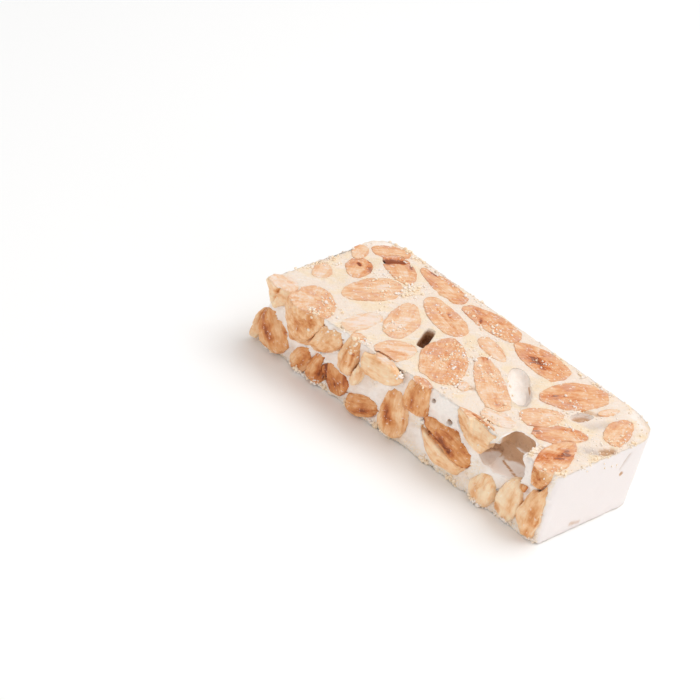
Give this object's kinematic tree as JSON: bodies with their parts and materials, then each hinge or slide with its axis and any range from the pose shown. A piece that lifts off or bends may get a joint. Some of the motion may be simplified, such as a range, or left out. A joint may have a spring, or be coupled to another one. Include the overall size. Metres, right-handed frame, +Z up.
{
  "type": "nougat bar",
  "caption": "Hand-cut bar of hard white nougat with whole toasted almonds: sawn flat above and below, broken along one long side, smooth at one end.",
  "frame": {"origin": "centre of the bar's bounding box, at the under face", "axes": "+X along the bar towards its smooth end, +Y towards the long side that is not broken, +Z up out of the sawn top face"},
  "size_m": [0.1046, 0.0506, 0.022],
  "materials": {
    "nougat": "hard white nougat: cream and finely crumbly where sawn, whiter and glossy where it broke or was moulded",
    "almond_sliced": "toasted almond cut by the saw: fine-grained, matte, pale peach with a darker toasted middle in some",
    "almond_broken": "toasted almond broken across: rough, matte, light tan to red-brown"
  },
  "bodies": {
    "root": {"almond_edge_01": "almond_broken", "almond_edge_02": "almond_broken", "almond_edge_03": "almond_broken", "almond_edge_04": "almond_broken", "almond_edge_05": "almond_broken", "almond_edge_06": "almond_broken", "almond_edge_07": "almond_broken", "almond_far_01": "almond_broken", "almond_far_02": "almond_broken", "almond_far_03": "almond_broken", "almond_far_04": "almond_broken", "almond_far_05": "almond_broken", "almond_left_01": "almond_broken", "almond_left_02": "almond_broken", "almond_near_01": "almond_broken", "almond_near_02": "almond_broken", "almond_near_03": "almond_broken", "almond_near_04": "almond_broken", "almond_near_05": "almond_broken", "almond_near_06": "almond_broken", "almond_near_07": "almond_broken", "almond_near_08": "almond_broken", "almond_near_09": "almond_broken", "almond_near_10": "almond_broken", "almond_near_11": "almond_broken", "almond_near_12": "almond_broken", "almond_near_13": "almond_broken", "almond_near_14": "almond_broken", "almond_near_15": "almond_broken", "almond_top_01": "almond_sliced", "almond_top_02": "almond_sliced", "almond_top_03": "almond_sliced", "almond_top_04": "almond_sliced", "almond_top_05": "almond_sliced", "almond_top_06": "almond_sliced", "almond_top_07": "almond_sliced", "almond_top_08": "almond_sliced", "almond_top_09": "almond_sliced", "almond_top_10": "almond_sliced", "almond_top_11": "almond_sliced", "almond_top_12": "almond_sliced", "almond_top_13": "almond_sliced", "almond_top_14": "almond_sliced", "almond_top_15": "almond_sliced", "almond_top_16": "almond_sliced", "almond_top_17": "almond_sliced", "almond_top_18": "almond_sliced", "almond_top_19": "almond_sliced", "almond_top_20": "almond_sliced", "almond_top_21": "almond_sliced", "almond_top_22": "almond_sliced", "almond_top_23": "almond_sliced", "almond_under_01": "almond_sliced", "almond_under_02": "almond_sliced", "almond_under_03": "almond_sliced", "almond_under_04": "almond_sliced", "almond_under_05": "almond_sliced", "almond_under_06": "almond_sliced", "nougat": "nougat"}
  },
  "joints": []
}
